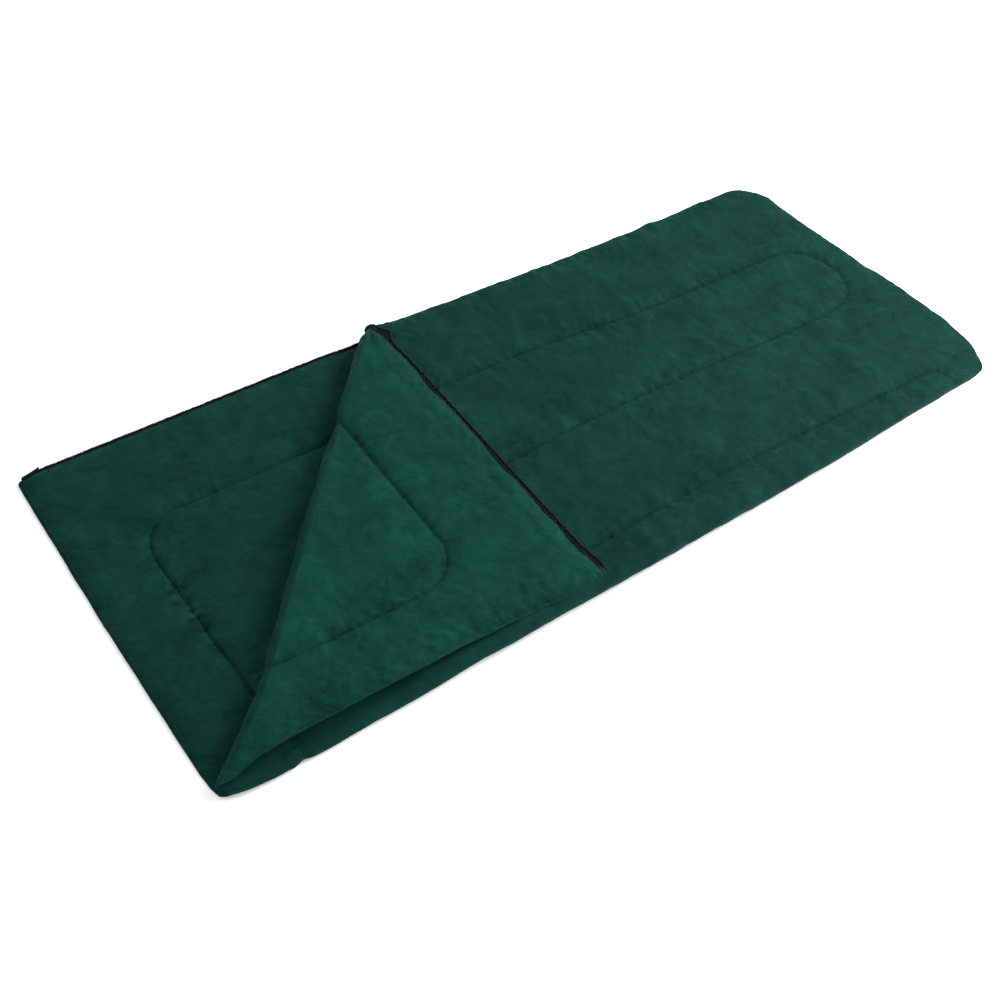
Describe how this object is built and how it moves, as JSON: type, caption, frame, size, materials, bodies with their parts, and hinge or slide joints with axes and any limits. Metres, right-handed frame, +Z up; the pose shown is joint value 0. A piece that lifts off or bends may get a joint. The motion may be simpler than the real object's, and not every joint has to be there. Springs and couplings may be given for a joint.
{
  "type": "rectangular sleeping bag",
  "caption": "Rectangular quilted sleeping bag lying flat: a cover hinged on a soft side fold over a lower quilt, a zip round the open sides, and a free corner turned back.",
  "frame": {"origin": "on the ground under the middle of the bag", "axes": "+X from the head end to the foot end, +Y from the side fold to the zip side, +Z up"},
  "size_m": [1.8004, 0.7566, 0.0714],
  "materials": {
    "outer_shell_fabric": "dark green brushed microfibre, matt, with a cloudy nap",
    "lining_fabric": "dark green brushed microfibre, matt, a little lighter than the shell",
    "batting_fill": "white polyester hollow-fibre wadding",
    "zip_tape_fabric": "black woven zip tape",
    "zip_coil_plastic": "black polyester monofilament coil",
    "slider_metal": "black painted die-cast zinc",
    "quilting_thread": "dark green sewing thread"
  },
  "bodies": {
    "lower_quilt": {"lower_outer_shell": "outer_shell_fabric", "lower_batting": "batting_fill", "lower_lining": "lining_fabric", "lower_quilting_thread": "quilting_thread", "lower_zip_tape": "zip_tape_fabric", "lower_zip_coil": "zip_coil_plastic", "lower_top_stop": "slider_metal", "zip_bottom_stop": "slider_metal", "side_fold_outer_shell": "outer_shell_fabric", "side_fold_batting": "batting_fill", "side_fold_lining": "lining_fabric"},
    "upper_quilt": {"upper_lining": "lining_fabric", "upper_batting": "batting_fill", "upper_outer_shell": "outer_shell_fabric", "upper_quilting_thread": "quilting_thread", "upper_head_thread": "quilting_thread", "upper_zip_tape": "zip_tape_fabric", "upper_zip_coil": "zip_coil_plastic", "crease_fold_lining": "lining_fabric", "crease_fold_batting": "batting_fill", "crease_fold_outer_shell": "outer_shell_fabric"},
    "corner_flap": {"flap_outer_shell": "outer_shell_fabric", "flap_batting": "batting_fill", "flap_lining": "lining_fabric", "flap_quilting_thread": "quilting_thread", "flap_zip_tape": "zip_tape_fabric", "flap_zip_coil": "zip_coil_plastic", "flap_top_stop": "slider_metal"},
    "zip_slider": {"slider_body": "slider_metal", "slider_bridge": "slider_metal"},
    "slider_pull": {"pull_tab": "slider_metal"}
  },
  "joints": [
    {"name": "cover_fold", "type": "hinge", "parent": "lower_quilt", "child": "upper_quilt", "pos_m": [0, -0.352, 0.023], "axis": [1, 0, 0], "range_deg": [0, 179], "deforming": ["side_fold_outer_shell", "side_fold_batting", "side_fold_lining"]},
    {"name": "corner_fold", "type": "hinge", "parent": "upper_quilt", "child": "corner_flap", "pos_m": [-0.891, -0.352, 0.0475], "axis": [-0.7071, -0.7071, 0], "range_deg": [0, 179.9], "deforming": ["crease_fold_lining", "crease_fold_batting", "crease_fold_outer_shell"]},
    {"name": "slider_travel", "type": "slide", "parent": "lower_quilt", "child": "zip_slider", "axis": [1, 0, 0], "range_m": [-0.7, 0.95]},
    {"name": "pull_swing", "type": "hinge", "parent": "zip_slider", "child": "slider_pull", "pos_m": [-0.1598, 0.3787, 0.023], "axis": [0, 0, 1], "range_deg": [0, 180]}
  ]
}
